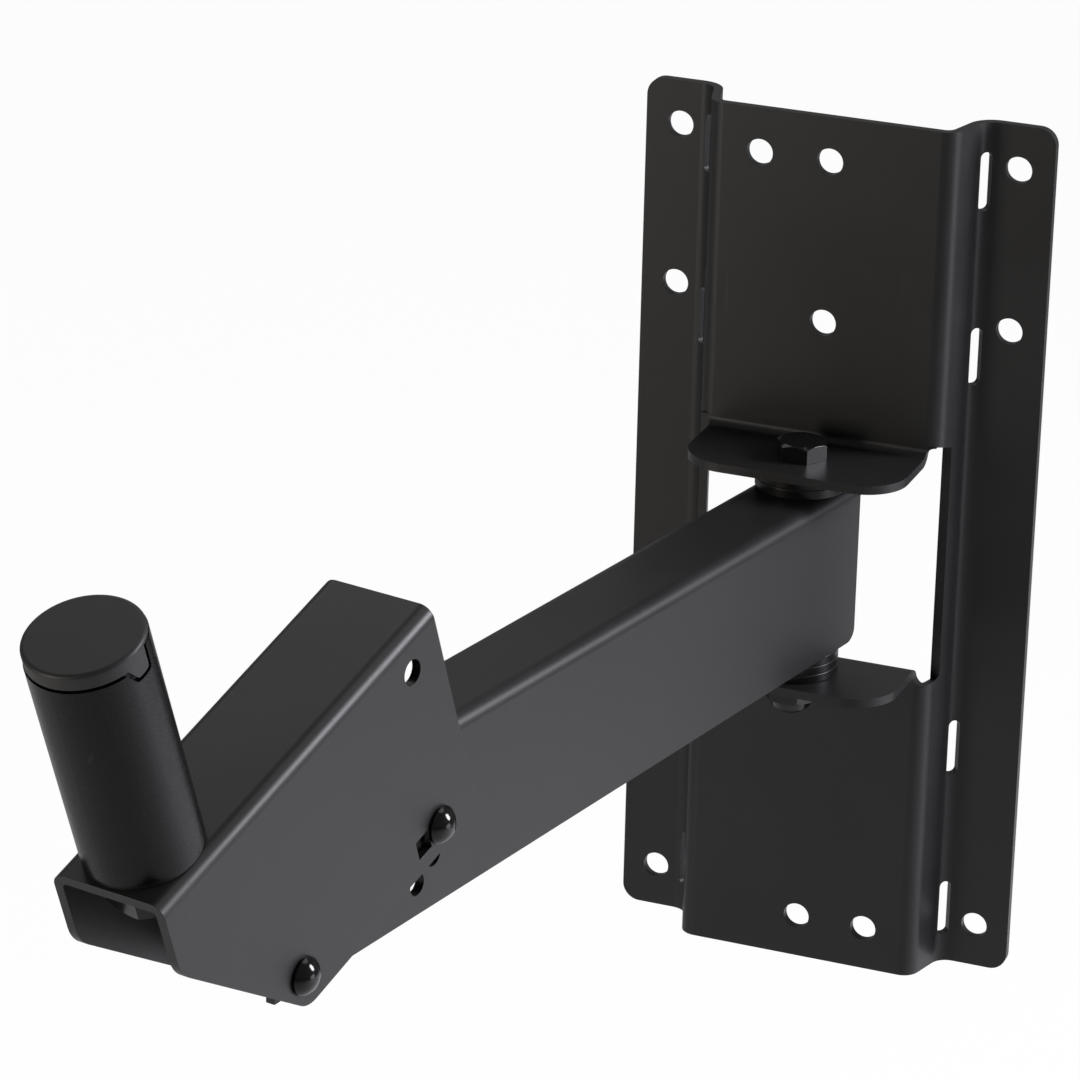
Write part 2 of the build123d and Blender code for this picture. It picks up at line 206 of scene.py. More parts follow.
@dataclass
class EffectKit:
    """The three effects that the finishes share, each one a node group built once.

    Scales are per metre, and a window is the part of a noise's range over which a mask rises.
    Spot scale and window place the marks of handling, and scuffs and dust show only there.
    """

    patch_scale: float = 120.0
    patch_window: tuple[float, float] = (0.35, 0.7)
    least_edge_highlight: float = 0.3
    spot_scale: float = 22.0
    spot_window: tuple[float, float] = (0.52, 0.68)
    scuff_scale: float = 260.0
    scuff_stretch: tuple[float, float, float] = (1.0, 1.0, 0.05)
    scuff_window: tuple[float, float] = (0.66, 0.74)
    dust_scale: float = 210.0
    dust_window: tuple[float, float] = (0.1, 0.05)
    skin: bpy.types.NodeTree = field(init=False)
    painted_edge_highlight: bpy.types.NodeTree = field(init=False)
    handling: bpy.types.NodeTree = field(init=False)

    def __post_init__(self) -> None:
        """Build the groups."""
        self.skin = self._build_skin()
        self.painted_edge_highlight = self._build_painted_edge_highlight()
        self.handling = self._build_handling()

    @staticmethod
    def _build_skin() -> bpy.types.NodeTree:
        """Build the coat's skin: fine grain, orange peel and slow clouds of tone.

        Returns:
            A group with Height, Tone and Gloss.
        """
        group = MaskGroup(
            "coat_skin",
            {"Grain Scale": 1.0, "Peel Scale": 1.0, "Peel Share": 0.5, "Cloud Scale": 1.0},
            ("Height", "Tone", "Gloss"),
        )
        grain = group.noise(group.entry["Grain Scale"], detail=2.0, rough=0.6)
        peel = group.noise(group.entry["Peel Scale"], detail=1.0, rough=0.4)
        cloud = group.noise(group.entry["Cloud Scale"], detail=3.0, rough=0.55)
        waves = add_math(group.tree, "MULTIPLY", peel, group.entry["Peel Share"])
        group.give("Height", add_math(group.tree, "ADD", grain, waves))
        group.give("Tone", cloud)
        group.give("Gloss", add_math(group.tree, "MULTIPLY", cloud, grain))
        return group.tree

    def _build_painted_edge_highlight(self) -> bpy.types.NodeTree:
        """Build the painted highlight on rounded edges, a lighter colour where light would catch
        them: uneven in patches, and none on flat faces.

        Returns:
            A group with Mask.
        """
        group = MaskGroup(
            "painted_edge_highlight", {"Amount": 0.5, "Patch Scale": self.patch_scale}, ("Mask",)
        )
        # Painted highlight: rounded cut edges get the lighter colour, broken into patches by
        # noise
        cut = group.tree.nodes.new("ShaderNodeAttribute")
        cut.attribute_name = EDGE_MASK
        patch = group.noise(group.entry["Patch Scale"], detail=3.0, rough=0.6)
        uneven = add_range(group.tree, patch, self.patch_window, (self.least_edge_highlight, 1.0))
        highlight_and_worn = add_math(group.tree, "MULTIPLY", cut.outputs["Fac"], uneven)
        group.give("Mask", add_math(group.tree, "MULTIPLY", highlight_and_worn, group.entry["Amount"]))
        return group.tree

    def _build_handling(self) -> bpy.types.NodeTree:
        """Build marks of handling: faint scuffs along Z, and sparse specks of dust.

        Returns:
            A group with Scuff and Dust.
        """
        group = MaskGroup("handling", {"Scuff": 0.5, "Dust": 0.5}, ("Scuff", "Dust"))
        drawn = group.stretched(self.scuff_stretch)
        lines = group.noise(self.scuff_scale, detail=2.0, rough=0.5, place=drawn)
        where = group.noise(self.spot_scale, detail=2.0, rough=0.5)
        thin = add_range(group.tree, lines, self.scuff_window, FULL)
        some = add_range(group.tree, where, self.spot_window, FULL)
        scuff = add_math(group.tree, "MULTIPLY", thin, some)
        group.give("Scuff", add_math(group.tree, "MULTIPLY", scuff, group.entry["Scuff"]))
        specks = group.tree.nodes.new("ShaderNodeTexVoronoi")
        specks.inputs["Scale"].default_value = self.dust_scale
        group.tree.links.new(group.entry["Place"], specks.inputs["Vector"])
        dot = add_range(group.tree, specks.outputs["Distance"], self.dust_window, FULL)
        few = add_math(group.tree, "MULTIPLY", dot, some)
        group.give("Dust", add_math(group.tree, "MULTIPLY", few, group.entry["Dust"]))
        return group.tree


@dataclass(frozen=True)
class Finish:
    """A painted, plated or moulded finish: a tone between two colours, a skin with scuffs and
    dust, and a painted edge highlight.

    The tone drifts from dark to light, and the lighter colour shows in scuffs and in dust, and on
    rounded edges as a painted highlight. Grain, peel and cloud are noise scales per metre, from
    the finest to the coarsest. Edge says how strong the painted edge highlight is, scuff and dust
    how strong those marks are, dulling how much rougher a mark is than the coat, and turn lays
    the scuffs along the piece. A window is the part of a noise's range over which the tone or the
    gloss changes.
    """

    name: str
    dark: tuple[float, float, float]
    light: tuple[float, float, float]
    highlight_and_worn: tuple[float, float, float]
    roughness: tuple[float, float]
    specular: float = 0.5
    metallic: float = 0.0
    grain: float = 2400.0
    peel: float = 420.0
    peel_share: float = 0.8
    cloud: float = 14.0
    bump: float = 0.12
    bump_height: float = 0.00006
    edge: float = 0.5
    # edge: how strong the painted highlight on rounded edges is
    scuff: float = 0.4
    dust: float = 0.3
    dulling: float = 0.2
    tone_window: tuple[float, float] = (0.3, 0.7)
    gloss_window: tuple[float, float] = (0.1, 0.4)
    turn: tuple[float, float, float] = (0.0, 0.0, 0.0)

    def build(self, effects: EffectKit) -> bpy.types.Material:
        """Build the material.

        Args:
            effects: the shared node groups.

        Returns:
            The material.
        """
        material = bpy.data.materials.new(self.name)
        material.use_nodes = True
        tree = material.node_tree
        shader = tree.nodes["Principled BSDF"]
        shader.inputs["Specular IOR Level"].default_value = self.specular
        shader.inputs["Metallic"].default_value = self.metallic
        place = self._add_place(tree)
        skin = self._place_group(tree, effects.skin, place, {
            "Grain Scale": self.grain, "Peel Scale": self.peel,
            "Peel Share": self.peel_share, "Cloud Scale": self.cloud,
        })
        edge_highlight = self._place_group(tree, effects.painted_edge_highlight, place, {"Amount": self.edge})
        marks = self._place_group(tree, effects.handling, place, {
            "Scuff": self.scuff, "Dust": self.dust,
        })

        toned = self._add_mix(tree, add_range(tree, skin["Tone"], self.tone_window, FULL))
        toned.inputs["A"].default_value = (*self.dark, 1.0)
        toned.inputs["B"].default_value = (*self.light, 1.0)
        # Scuffs and dust, and the painted highlight on rounded edges, lift the colour to the
        # lighter one
        marked = add_math(tree, "MAXIMUM", marks["Scuff"], marks["Dust"])
        lifted = self._add_mix(tree, add_math(tree, "MAXIMUM", edge_highlight["Mask"], marked))
        lifted.inputs["B"].default_value = (*self.highlight_and_worn, 1.0)
        tree.links.new(toned.outputs["Result"], lifted.inputs["A"])
        tree.links.new(lifted.outputs["Result"], shader.inputs["Base Color"])

        gloss = add_range(tree, skin["Gloss"], self.gloss_window, self.roughness)
        dulled = add_math(tree, "MULTIPLY", marked, self.dulling)
        rough = add_math(tree, "ADD", gloss, dulled, clamp=True)
        tree.links.new(rough, shader.inputs["Roughness"])

        bump = tree.nodes.new("ShaderNodeBump")
        bump.inputs["Strength"].default_value = self.bump
        bump.inputs["Distance"].default_value = self.bump_height
        tree.links.new(skin["Height"], bump.inputs["Height"])
        tree.links.new(bump.outputs["Normal"], shader.inputs["Normal"])
        return material

    def _add_place(self, tree: bpy.types.NodeTree) -> Socket:
        """Add Object coordinates, turned so that the pattern's Z runs along the piece.

        Args:
            tree: the material's node tree.

        Returns:
            The socket with the coordinates.
        """
        source = tree.nodes.new("ShaderNodeTexCoord")
        turned = tree.nodes.new("ShaderNodeMapping")
        turned.inputs["Rotation"].default_value = self.turn
        tree.links.new(source.outputs["Object"], turned.inputs["Vector"])
        return turned.outputs["Vector"]

    @staticmethod
    def _add_mix(tree: bpy.types.NodeTree, factor: Socket) -> bpy.types.Node:
        """Add a colour Mix node with a linked factor.

        Args:
            tree: the material's node tree.
            factor: socket with the factor.

        Returns:
            The node.
        """
        node = tree.nodes.new("ShaderNodeMix")
        node.data_type = "RGBA"
        tree.links.new(factor, node.inputs["Factor"])
        return node

    @staticmethod
    def _place_group(
        tree: bpy.types.NodeTree,
        group: bpy.types.NodeTree,
        place: Socket,
        values: dict[str, float],
    ) -> bpy.types.NodeOutputs:
        """Put a shared group into the material.

        Args:
            tree: the material's node tree.
            group: the shared group.
            place: socket with the coordinates.
            values: the group's inputs.

        Returns:
            The group node's outputs.
        """
        node = tree.nodes.new("ShaderNodeGroup")
        node.node_tree = group
        tree.links.new(place, node.inputs["Place"])
        for label, value in values.items():
            node.inputs[label].default_value = value
        return node.outputs


@dataclass
class ThreadTree:
    """Geometry nodes for the turns of a screw thread: a ridge that climbs round Z."""

    steps_per_turn: int = 28
    ridge_sides: int = 4
    tree: bpy.types.NodeTree = field(init=False)

    def __post_init__(self) -> None:
        """Build the tree."""
        self.tree = bpy.data.node_groups.new("thread_turns", "GeometryNodeTree")
        sockets = self.tree.interface.new_socket
        sockets("Geometry", in_out="OUTPUT", socket_type="NodeSocketGeometry")
        for label, kind in (
            ("Radius", "NodeSocketFloat"), ("Pitch", "NodeSocketFloat"),
            ("Turns", "NodeSocketFloat"), ("Ridge", "NodeSocketFloat"),
            ("Finish", "NodeSocketMaterial"),
        ):
            sockets(label, in_out="INPUT", socket_type=kind)
        nodes, link = self.tree.nodes, self.tree.links.new
        entry = nodes.new("NodeGroupInput").outputs
        path = nodes.new("GeometryNodeCurveSpiral")
        path.inputs["Resolution"].default_value = self.steps_per_turn
        link(entry["Turns"], path.inputs["Rotations"])
        link(entry["Radius"], path.inputs["Start Radius"])
        link(entry["Radius"], path.inputs["End Radius"])
        rise = add_math(self.tree, "MULTIPLY", entry["Pitch"], entry["Turns"])
        link(rise, path.inputs["Height"])
        ridge = nodes.new("GeometryNodeCurvePrimitiveCircle")
        ridge.inputs["Resolution"].default_value = self.ridge_sides
        link(entry["Ridge"], ridge.inputs["Radius"])
        sweep = nodes.new("GeometryNodeCurveToMesh")
        sweep.inputs["Fill Caps"].default_value = True
        link(path.outputs["Curve"], sweep.inputs["Curve"])
        link(ridge.outputs["Curve"], sweep.inputs["Profile Curve"])
        real = nodes.new("GeometryNodeRealizeInstances")
        link(sweep.outputs["Mesh"], real.inputs["Geometry"])
        paint = nodes.new("GeometryNodeSetMaterial")
        link(real.outputs["Geometry"], paint.inputs["Geometry"])
        link(entry["Finish"], paint.inputs["Material"])
        link(paint.outputs["Geometry"], nodes.new("NodeGroupOutput").inputs["Geometry"])


@dataclass
class WeldTree:
    """Geometry nodes for a weld bead: ripples laid one on the other round a tube."""

    path_steps: int = 64
    ripple_smoothness: int = 2
    least_stretch: tuple[float, float, float] = (0.95, 0.95, 0.45)
    most_stretch: tuple[float, float, float] = (1.2, 1.2, 0.6)
    seed: int = 7
    tree: bpy.types.NodeTree = field(init=False)

    def __post_init__(self) -> None:
        """Build the tree."""
        self.tree = bpy.data.node_groups.new("weld_bead", "GeometryNodeTree")
        sockets = self.tree.interface.new_socket
        sockets("Geometry", in_out="OUTPUT", socket_type="NodeSocketGeometry")
        for label, kind in (
            ("Radius", "NodeSocketFloat"), ("Ripples", "NodeSocketInt"),
            ("Ripple Size", "NodeSocketFloat"), ("Finish", "NodeSocketMaterial"),
        ):
            sockets(label, in_out="INPUT", socket_type=kind)
        nodes, link = self.tree.nodes, self.tree.links.new
        entry = nodes.new("NodeGroupInput").outputs
        path = nodes.new("GeometryNodeCurvePrimitiveCircle")
        path.inputs["Resolution"].default_value = self.path_steps
        link(entry["Radius"], path.inputs["Radius"])
        spots = nodes.new("GeometryNodeCurveToPoints")
        link(path.outputs["Curve"], spots.inputs["Curve"])
        link(entry["Ripples"], spots.inputs["Count"])
        ripple = nodes.new("GeometryNodeMeshIcoSphere")
        ripple.inputs["Subdivisions"].default_value = self.ripple_smoothness
        link(entry["Ripple Size"], ripple.inputs["Radius"])
        size = nodes.new("FunctionNodeRandomValue")
        size.data_type = "FLOAT_VECTOR"
        size.inputs["Min"].default_value = self.least_stretch
        size.inputs["Max"].default_value = self.most_stretch
        size.inputs["Seed"].default_value = self.seed
        lay = nodes.new("GeometryNodeInstanceOnPoints")
        link(spots.outputs["Points"], lay.inputs["Points"])
        link(spots.outputs["Rotation"], lay.inputs["Rotation"])
        link(ripple.outputs["Mesh"], lay.inputs["Instance"])
        link(size.outputs["Value"], lay.inputs["Scale"])
        real = nodes.new("GeometryNodeRealizeInstances")
        link(lay.outputs["Instances"], real.inputs["Geometry"])
        paint = nodes.new("GeometryNodeSetMaterial")
        link(real.outputs["Geometry"], paint.inputs["Geometry"])
        link(entry["Finish"], paint.inputs["Material"])
        link(paint.outputs["Geometry"], nodes.new("NodeGroupOutput").inputs["Geometry"])


@dataclass
class Workshop:
    """Holds the finishes, and turns CAD nodes and trees into dressed pieces."""

    finishes: dict[Slot, Finish]
    materials: dict[Slot, bpy.types.Material] = field(init=False)
    thread: bpy.types.NodeTree = field(init=False)
    weld: bpy.types.NodeTree = field(init=False)

    def __post_init__(self) -> None:
        """Build the shared effects, every finish and the two trees once."""
        effects = EffectKit()
        self.materials = {slot: finish.build(effects) for slot, finish in self.finishes.items()}
        self.thread = ThreadTree().tree
        self.weld = WeldTree().tree

    def dress_node(self, node: str, slot: Slot) -> None:
        """Give a CAD node its finish and keep its shape.

        Args:
            node: the node's name.
            slot: the slot whose finish it takes.
        """
        piece = frame["nodes"][node]
        piece.data.materials.clear()
        piece.data.materials.append(self.materials[slot])
        LOG.info("%s keeps its shape, in %s", node, slot.value)

    def round_node(
        self, node: str, body: Body, slot: Slot, radius: float, fold: float = 32.0
    ) -> None:
        """Replace a CAD node with a copy whose cut edges are rounded, as deburred steel is.

        Args:
            node: the node's name.
            body: the body that the node belongs to.
            slot: the slot whose finish it takes.
            radius: radius of the rounded edges, in millimetres.
            fold: the least fold, in degrees, that counts as an edge.
        """
        raw = bpy.data.meshes.new(f"{node}_raw")
        shape = bmesh.new()
        shape.from_mesh(frame["nodes"][node].data)
        bmesh.ops.remove_doubles(shape, verts=shape.verts, dist=MERGE_DISTANCE * MM)
        bmesh.ops.dissolve_limit(
            shape, angle_limit=math.radians(FLAT_FOLD), verts=shape.verts, edges=shape.edges
        )
        bmesh.ops.recalc_face_normals(shape, faces=shape.faces)
        shape.to_mesh(raw)
        shape.free()
        raw.shade_smooth()
        draft = bpy.data.objects.new(f"{node}_draft", raw)
        bpy.context.collection.objects.link(draft)
        rounding = draft.modifiers.new("round_edges", "BEVEL")
        rounding.width = radius * MM
        rounding.segments = ROUND_STEPS
        rounding.limit_method = "ANGLE"
        rounding.angle_limit = math.radians(fold)
        rounding.miter_outer = "MITER_ARC"
        rounding.material = CUT_EDGE_SLOT
        raw.materials.append(self.materials[slot])
        raw.materials.append(self.materials[slot])
        mesh = self._take_mesh(draft, f"{node}_rounded")
        self._take_normals(mesh, frame["nodes"][node].data)
        self._mark_cut_edges(mesh)
        self._hand_over(mesh, f"{node}_rounded", body, slot, node)
        LOG.info("%s has edges of %.2f mm, in %s", node, radius, slot.value)

    def grow_tree(
        self, name: str, tree: bpy.types.NodeTree, values: dict[str, float], place: Matrix,
        body: Body, slot: Slot,
    ) -> None:
        """Make a piece from a geometry node tree.

        Args:
            name: the piece's name.
            tree: the geometry node tree.
            values: the tree's inputs, lengths in metres.
            place: where the piece goes.
            body: the body that the piece rides on.
            slot: the slot whose finish it takes.
        """
        draft = bpy.data.objects.new(f"{name}_draft", bpy.data.meshes.new(f"{name}_draft"))
        bpy.context.collection.objects.link(draft)
        grower = draft.modifiers.new(tree.name, "NODES")
        grower.node_group = tree
        settings = {**values, "Finish": self.materials[slot]}
        for item in tree.interface.items_tree:
            if item.in_out == "INPUT":
                grower[item.identifier] = settings[item.name]
        mesh = self._take_mesh(draft, name)
        mesh.transform(place)
        self._hand_over(mesh, name, body, slot)
        LOG.info("%s grown with %d faces, in %s", name, len(mesh.polygons), slot.value)

    @staticmethod
    def _take_mesh(draft: bpy.types.Object, name: str) -> bpy.types.Mesh:
        """Turn a draft with modifiers into a plain mesh, and remove the draft.

        Args:
            draft: the draft object.
            name: the mesh's name.

        Returns:
            The mesh.
        """
        bpy.context.view_layer.update()
        whole = draft.evaluated_get(bpy.context.evaluated_depsgraph_get())
        mesh = bpy.data.meshes.new_from_object(whole)
        mesh.name = name
        draft.modifiers.clear()
        bpy.data.objects.remove(draft)
        return mesh

    @staticmethod
    def _take_normals(mesh: bpy.types.Mesh, exact: bpy.types.Mesh) -> None:
        """Shade a rounded mesh as the exact surfaces are, with its rounded edges between them.

        Args:
            mesh: the rounded mesh, whose cut edges have the second material.
            exact: the CAD node's mesh, with the exact surfaces' normals.
        """
        surface = BVHTree.FromPolygons(
            [vertex.co for vertex in exact.vertices], [face.vertices for face in exact.polygons]
        )
        normals = [mesh.vertex_normals[loop.vertex_index].vector.copy() for loop in mesh.loops]
        flank = {}
        for face in mesh.polygons:
            if face.material_index == CUT_EDGE_SLOT:
                continue
            for loop in face.loop_indices:
                vertex = mesh.loops[loop].vertex_index
                corner = mesh.vertices[vertex].co
                inward = (face.center - corner).normalized() * NORMAL_PROBE * MM
                place, facing, found, _ = surface.find_nearest(corner + inward)
                if facing.dot(face.normal) > SAME_FACING:
                    normals[loop] = Workshop._exact_normal(exact, found, place)
                else:
                    normals[loop] = face.normal.copy()
                flank.setdefault(vertex, []).append(normals[loop])
        for face in mesh.polygons:
            if face.material_index == CUT_EDGE_SLOT:
                for loop in face.loop_indices:
                    beside = flank.get(mesh.loops[loop].vertex_index)
                    if beside:
                        normals[loop] = sum(beside, Vector()).normalized()
        mesh.normals_split_custom_set(normals)

    @staticmethod
    def _exact_normal(exact: bpy.types.Mesh, found: int, place: Vector) -> Vector:
        """Give the exact surface's normal at a place on one of its faces.

        Args:
            exact: the CAD node's mesh, with the exact surfaces' normals.
            found: the face's index.
            place: the place on the face.

        Returns:
            The normal.
        """
        face = exact.polygons[found]
        outline = [exact.vertices[index].co for index in face.vertices]
        mixed = Vector()
        for share, index in zip(poly_3d_calc(outline, place), face.loop_indices):
            mixed += share * exact.corner_normals[index].vector
        return mixed.normalized()

    @staticmethod
    def _mark_cut_edges(mesh: bpy.types.Mesh) -> None:
        """Mark the rounded edges, whose faces have the second material, and drop that one.

        Args:
            mesh: the rounded mesh.
        """
        mask = mesh.attributes.new(EDGE_MASK, "FLOAT", "CORNER")
        values = [0.0] * len(mesh.loops)
        for face in mesh.polygons:
            if face.material_index == CUT_EDGE_SLOT:
                for loop in face.loop_indices:
                    values[loop] = 1.0
                face.material_index = 0
        mask.data.foreach_set("value", values)
        mesh.materials.pop(index=CUT_EDGE_SLOT)

    @staticmethod
    def _hand_over(
        mesh: bpy.types.Mesh, name: str, body: Body, slot: Slot, node: str | None = None
    ) -> None:
        """Put a finished mesh in the scene.

        Args:
            mesh: the mesh, in its place.
            name: the piece's name.
            body: the body that it rides on.
            slot: the slot whose finish it takes; not used.
            node: the CAD node that it replaces, if any.
        """
        piece = bpy.data.objects.new(name, mesh)
        bpy.context.collection.objects.link(piece)
        if node:
            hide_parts(node)
        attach(piece, body.value)


def seat(point: Vector, axis: Vector) -> Matrix:
    """Give the matrix that stands a piece's Z on an axis.

    Args:
        point: where the piece's origin goes.
        axis: the direction that its Z takes.

    Returns:
        The matrix.
    """
    return Matrix.Translation(point) @ axis.to_track_quat("Z", "Y").to_matrix().to_4x4()


def middle(node: str) -> Vector:
    """Give the middle of a CAD node's box."""
    low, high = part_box(node)
    return (low + high) / 2


@dataclass(frozen=True)
class ThreadEnd:
    """The last turns of a bolt's thread, sizes in millimetres.

    Buried is the share of the ridge that lies in the shank, and inset is how far the turns
    start from the bolt's end.
    """

    radius: float
    pitch: float
    ridge: float
    inset: float
    turns: float = 1.3
    buried: float = 0.5

    def inputs(self) -> dict[str, float]:
        """Give the thread tree's inputs, with lengths in metres."""
        return {
            "Radius": (self.radius - self.ridge * self.buried) * MM,
            "Pitch": self.pitch * MM,
            "Turns": self.turns,
            "Ridge": self.ridge * MM,
        }


@dataclass
class WallPlate:
    """The folded plate on the wall, with its ears."""

    edge: float = 0.45

    def build(self, shop: Workshop) -> None:
        """Round the plate's cut edges and dress it."""
        shop.round_node("wall_plate", Body.WALL, Slot.SHEET, self.edge)


@dataclass
class Swivel:
    """The bolt through the ears with its nut and washers, sizes in millimetres."""

    washers: tuple[str, ...] = (
        "lower_washer_1", "lower_washer_2", "lower_washer_3", "upper_washer_1", "upper_washer_2",
    )
    washer_edge: float = 0.35
    head_edge: float = 0.3
    thread: ThreadEnd = ThreadEnd(radius=5.0, pitch=1.25, ridge=0.4, inset=0.4)
    axis: Vector = field(default_factory=lambda: Vector((0.0, -37.0, 0.0)) * MM)

    def build(self, shop: Workshop) -> None:
        """Dress the washers, the bolt and its nut, and cut the thread's last turns.

        Args:
            shop: the workshop that dresses and places the pieces.
        """
        for node in self.washers:
            shop.round_node(node, Body.WALL, Slot.WASHER, self.washer_edge)
        for node in ("swivel_bolt", "swivel_nut"):
            shop.round_node(node, Body.WALL, Slot.HARDWARE, self.head_edge)
        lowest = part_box("swivel_bolt")[0].z
        tip = self.axis + Vector((0.0, 0.0, lowest + self.thread.inset * MM))
        shop.grow_tree(
            "swivel_thread", shop.thread, self.thread.inputs(),
            seat(tip, Vector((0.0, 0.0, 1.0))), Body.WALL, Slot.HARDWARE,
        )


@dataclass
class SwingArm:
    """The channel arm and the tube welded into its wall end, sizes in millimetres.

    Ripple is the radius of one of the bead's ripples, and outset is the share of it by which
    the bead's ring lies outside the tube. The ring lies drop below the tube's upper end.
    """

    edge: float = 0.45
    tube_radius: float = 8.48
    ripple: float = 1.5
    ripples: int = 34
    outset: float = 0.3
    drop: float = 0.2

    def build(self, shop: Workshop) -> None:
        """Round the arm's edges, dress the tube, and lay the weld bead where they meet.

        Args:
            shop: the workshop that dresses and places the pieces.
        """
        shop.round_node("arm", Body.ARM, Slot.SHEET, self.edge)
        shop.dress_node("swivel_tube", Slot.SHEET)
        low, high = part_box("swivel_tube")
        top = Vector(((low.x + high.x) / 2, (low.y + high.y) / 2, high.z - self.drop * MM))
        shop.grow_tree("tube_weld", shop.weld, {
            "Radius": (self.tube_radius + self.ripple * self.outset) * MM,
            "Ripples": self.ripples,
            "Ripple Size": self.ripple * MM,
        }, Matrix.Translation(top), Body.ARM, Slot.SHEET)


@dataclass
class TiltHead:
    """The channel head that straddles the arm."""

    edge: float = 0.45

    def build(self, shop: Workshop) -> None:
        """Round the head's cut edges and dress it."""
        shop.round_node("tilt_head", Body.HEAD, Slot.SHEET, self.edge)


@dataclass
class CrossBolt:
    """A domed bolt across the head, with its washer, nut, sleeve and shims, in millimetres."""

    name: str
    across: Vector
    far_end: float = 28.1
    nut_edge: float = 0.2
    thread: ThreadEnd = ThreadEnd(radius=3.0, pitch=0.9, ridge=0.25, inset=0.25)

    def build(self, shop: Workshop) -> None:
        """Dress the bolt's pieces, round its nut, and cut the thread's last turns.

        Args:
            shop: the workshop that dresses and places the pieces.
        """
        shop.dress_node(f"{self.name}_bolt", Slot.HARDWARE)
        shop.round_node(f"{self.name}_nut", Body.HEAD, Slot.HARDWARE, self.nut_edge)
        shop.round_node(f"{self.name}_washer", Body.HEAD, Slot.WASHER, self.nut_edge)
        shop.dress_node(f"{self.name}_sleeve", Slot.WASHER)
        for side in ("near", "far"):
            shop.dress_node(f"{self.name}_shim_{side}", Slot.SHIM)
        centre = middle(f"{self.name}_sleeve")
        tip = centre - self.across * (self.far_end - self.thread.inset) * MM
        shop.grow_tree(
            f"{self.name}_thread", shop.thread, self.thread.inputs(),
            seat(tip, self.across), Body.HEAD, Slot.HARDWARE,
        )


@dataclass
class SpeakerPole:
    """The pole with its washer, plug, screw and cap, in millimetres and degrees."""

    tube_edge: float = 0.3
    cap_edge: float = 0.25
    cap_fold: float = 50.0
    washer_edge: float = 0.5
    screw_edge: float = 0.4

    def build(self, shop: Workshop) -> None:
        """Round the pole's pieces and dress them.

        Args:
            shop: the workshop that dresses and places the pieces.
        """
        shop.round_node("pole_tube", Body.HEAD, Slot.POLE, self.tube_edge)
        shop.round_node("pole_cap", Body.HEAD, Slot.CAP, self.cap_edge, self.cap_fold)
        shop.round_node("pole_washer", Body.HEAD, Slot.SHIM, self.washer_edge)
        shop.round_node("pole_screw", Body.HEAD, Slot.HARDWARE, self.screw_edge)
        shop.dress_node("pole_plug", Slot.BARE)


@dataclass(frozen=True)
class Softbox:
    """An oval lamp that looks at a point of the bracket."""

    name: str
    place: tuple[float, float, float]
    aim: tuple[float, float, float]
    size: tuple[float, float]
    power: float
    colour: tuple[float, float, float] = (1.0, 1.0, 1.0)

    def hang(self) -> None:
        """Add the lamp to the scene."""
        light = bpy.data.lights.new(self.name, "AREA")
        light.shape = "ELLIPSE"
        light.size, light.size_y = self.size
        light.energy = self.power
        light.color = self.colour
        lamp = bpy.data.objects.new(self.name, light)
        lamp.location = self.place
        look = Vector(self.aim) - Vector(self.place)
        lamp.rotation_euler = look.to_track_quat("-Z", "Y").to_euler()
        bpy.context.collection.objects.link(lamp)


@dataclass(frozen=True)
class Studio:
    """The pale floor, the room's light and the lamps."""

    floor_size: float = 30.0
    floor_height: float = -0.42
    floor_grey: float = 0.85
    floor_roughness: float = 0.9
    floor_shown: float = 0.965
    floor_mirrored: float = 0.03
    room_light: float = 0.1
    room_mirrored: float = 0.24
    lamps: tuple[Softbox, ...] = ()

    def set_up(self) -> None:
        """Add the floor, the world and the lamps."""
        self._lay_floor()
        self._light_room()
        for lamp in self.lamps:
            lamp.hang()

    def _lay_floor(self) -> None:
        """Lay the floor, which shows white to the camera and keeps a faint shadow."""
        bpy.ops.mesh.primitive_plane_add(
            size=self.floor_size, location=(0.0, 0.0, self.floor_height)
        )
        floor = bpy.context.object
        floor.name = "floor"
        material = bpy.data.materials.new("pale_floor")
        material.use_nodes = True
        tree = material.node_tree
        shader = tree.nodes["Principled BSDF"]
        shader.inputs["Base Color"].default_value = (*[self.floor_grey] * 3, 1.0)
        shader.inputs["Roughness"].default_value = self.floor_roughness
        glow = tree.nodes.new("ShaderNodeEmission")
        path = tree.nodes.new("ShaderNodeLightPath").outputs
        seen = add_math(tree, "MAXIMUM", path["Is Camera Ray"], path["Is Transmission Ray"])
        shown = add_math(tree, "MULTIPLY", seen, self.floor_shown)
        mirrored = add_math(tree, "MULTIPLY", path["Is Glossy Ray"], self.floor_mirrored)
        mix = tree.nodes.new("ShaderNodeMixShader")
        tree.links.new(add_math(tree, "MAXIMUM", shown, mirrored), mix.inputs["Fac"])
        tree.links.new(shader.outputs[0], mix.inputs[1])
        tree.links.new(glow.outputs[0], mix.inputs[2])
        tree.links.new(mix.outputs[0], tree.nodes["Material Output"].inputs["Surface"])
        floor.data.materials.append(material)

    def _light_room(self) -> None:
        """Set the world: white to the camera, and dimmer for light and for reflections."""
        world = bpy.data.worlds.new("studio")
        bpy.context.scene.world = world
        world.use_nodes = True
        tree = world.node_tree
        room = tree.nodes["Background"]
        room.inputs["Color"].default_value = (1.0, 1.0, 1.0, 1.0)
        path = tree.nodes.new("ShaderNodeLightPath").outputs
        seen = add_math(tree, "MAXIMUM", path["Is Camera Ray"], path["Is Transmission Ray"])
        mirrored = add_math(tree, "MULTIPLY", path["Is Glossy Ray"], self.room_mirrored)
        direct = add_math(tree, "MAXIMUM", seen, path["Is Glossy Ray"])
        rest = add_math(tree, "SUBTRACT", 1.0, direct)
        lit = add_math(tree, "MULTIPLY", rest, self.room_light)
        shown = add_math(tree, "ADD", seen, add_math(tree, "ADD", mirrored, lit))
        tree.links.new(shown, room.inputs["Strength"])


